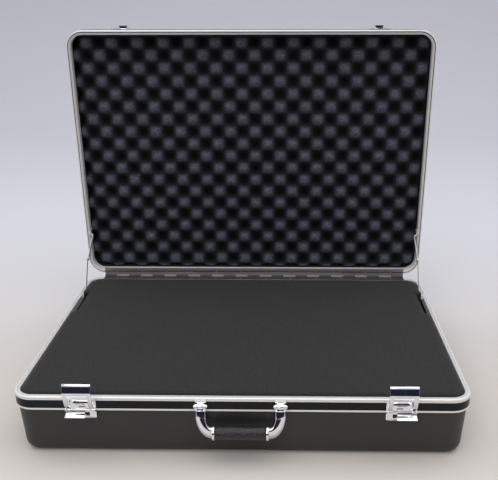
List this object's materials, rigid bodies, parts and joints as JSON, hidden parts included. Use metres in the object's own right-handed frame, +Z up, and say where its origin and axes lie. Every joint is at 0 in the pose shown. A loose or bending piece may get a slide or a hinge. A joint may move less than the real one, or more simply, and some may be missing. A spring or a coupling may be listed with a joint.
{
  "type": "hard carry case",
  "caption": "Hard carry case standing open on folding stays, with an aluminium rim, thumb-slide latches, a swinging handle, flat foam in the base and convoluted foam in the lid.",
  "frame": {"origin": "middle of the flat underside of the base", "axes": "+X to the right along the hinge, +Y to the back, +Z up; the handle and latches face -Y"},
  "size_m": [0.711, 0.6011, 0.6282],
  "materials": {
    "shell": "fine moulded texture, charcoal",
    "valance": "extruded, satin anodised",
    "band": "satin extruded insert, near black",
    "base_foam": "open-cell foam, charcoal",
    "foam_pad": "open-cell foam, charcoal",
    "lid_foam": "convoluted open-cell foam, near black",
    "hinge": "rolled steel strip, satin",
    "rivet": "set rivet heads",
    "latch": "polished nickel-chrome plate",
    "handle_metal": "polished nickel-chrome plate",
    "grip": "smooth moulded sleeve, black",
    "stay": "zinc plated strip",
    "core": "plain drawn bar"
  },
  "bodies": {
    "base": {"base_shell": "shell", "base_valance": "valance", "base_band": "band", "base_foam_pad": "foam_pad", "base_foam": "base_foam", "base_hinge_leaf": "hinge", "hinge_pin": "hinge", "base_hinge_rivets": "rivet", "base_stay_rivets": "rivet", "latch_left_plate": "latch", "latch_right_plate": "latch", "latch_pins": "latch", "latch_rivets": "latch", "handle_bracket_left": "handle_metal", "handle_bracket_right": "handle_metal", "handle_pins": "handle_metal"},
    "lid": {"lid_shell": "shell", "lid_valance": "valance", "lid_band": "band", "lid_foam": "lid_foam", "lid_hinge_leaf": "hinge", "lid_hinge_rivets": "rivet", "lid_stay_rivets": "rivet", "keeper_left": "latch", "keeper_right": "latch", "keeper_rivets": "latch"},
    "handle": {"handle_arm_left": "handle_metal", "handle_arm_right": "handle_metal", "handle_collars": "handle_metal", "handle_grip": "grip", "handle_core": "core"},
    "latch_left_slide": {"latch_left_slide": "latch"},
    "latch_left_hasp": {"latch_left_hasp": "latch"},
    "latch_right_slide": {"latch_right_slide": "latch"},
    "latch_right_hasp": {"latch_right_hasp": "latch"},
    "stay_left_lower": {"stay_left_lower": "stay"},
    "stay_left_upper": {"stay_left_upper": "stay"},
    "stay_right_lower": {"stay_right_lower": "stay"},
    "stay_right_upper": {"stay_right_upper": "stay"}
  },
  "joints": [
    {"name": "lid_hinge", "type": "hinge", "parent": "base", "child": "lid", "pos_m": [0, 0.2595, 0.1052], "axis": [1, 0, 0], "range_deg": [0, 86.8]},
    {"name": "handle_swing", "type": "hinge", "parent": "base", "child": "handle", "pos_m": [0, -0.2585, 0.094], "axis": [-1, 0, 0], "range_deg": [0, 110]},
    {"name": "latch_left_hasp_swing", "type": "hinge", "parent": "base", "child": "latch_left_hasp", "pos_m": [-0.245, -0.2565, 0.0855], "axis": [-1, 0, 0], "range_deg": [0, 18]},
    {"name": "latch_left_slide_travel", "type": "slide", "parent": "base", "child": "latch_left_slide", "axis": [1, 0, 0], "range_m": [0, 0.008]},
    {"name": "stay_left_lower_turn", "type": "hinge", "parent": "base", "child": "stay_left_lower", "pos_m": [-0.3464, 0.1555, 0.098], "axis": [1, 0, 0], "range_deg": [0, 113]},
    {"name": "stay_left_upper_turn", "type": "hinge", "parent": "lid", "child": "stay_left_upper", "pos_m": [-0.3464, 0.26088, 0.20944], "axis": [1, 0, 0], "range_deg": [-113, 0]},
    {"name": "latch_right_hasp_swing", "type": "hinge", "parent": "base", "child": "latch_right_hasp", "pos_m": [0.245, -0.2565, 0.0855], "axis": [-1, 0, 0], "range_deg": [0, 18]},
    {"name": "latch_right_slide_travel", "type": "slide", "parent": "base", "child": "latch_right_slide", "axis": [-1, 0, 0], "range_m": [0, 0.008]},
    {"name": "stay_right_lower_turn", "type": "hinge", "parent": "base", "child": "stay_right_lower", "pos_m": [0.3464, 0.1555, 0.098], "axis": [1, 0, 0], "range_deg": [0, 113]},
    {"name": "stay_right_upper_turn", "type": "hinge", "parent": "lid", "child": "stay_right_upper", "pos_m": [0.3464, 0.26088, 0.20944], "axis": [1, 0, 0], "range_deg": [-113, 0]}
  ],
  "couplings": [
    {"joint": "stay_left_lower_turn", "follows": "lid_hinge", "ratio": 1.3009},
    {"joint": "stay_left_upper_turn", "follows": "lid_hinge", "ratio": -1.3009},
    {"joint": "stay_right_lower_turn", "follows": "lid_hinge", "ratio": 1.3009},
    {"joint": "stay_right_upper_turn", "follows": "lid_hinge", "ratio": -1.3009}
  ]
}
